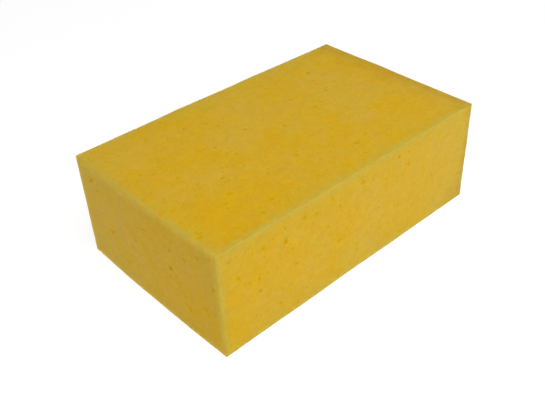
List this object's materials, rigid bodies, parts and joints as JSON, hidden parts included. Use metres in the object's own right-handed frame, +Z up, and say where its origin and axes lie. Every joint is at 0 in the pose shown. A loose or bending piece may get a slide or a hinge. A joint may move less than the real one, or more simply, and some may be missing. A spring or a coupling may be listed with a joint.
{
  "type": "foam sponge",
  "caption": "Rectangular block sponge of open-cell foam, with flat cut faces, softened edges and open pores on every side.",
  "frame": {"origin": "middle of the underside of the block", "axes": "+X along the length, +Y along the width, +Z up from the underside"},
  "size_m": [0.18, 0.11, 0.061],
  "materials": {
    "foam": "matt open-cell polyurethane foam, mustard yellow"
  },
  "bodies": {
    "root": {"foam_block": "foam"}
  },
  "joints": []
}
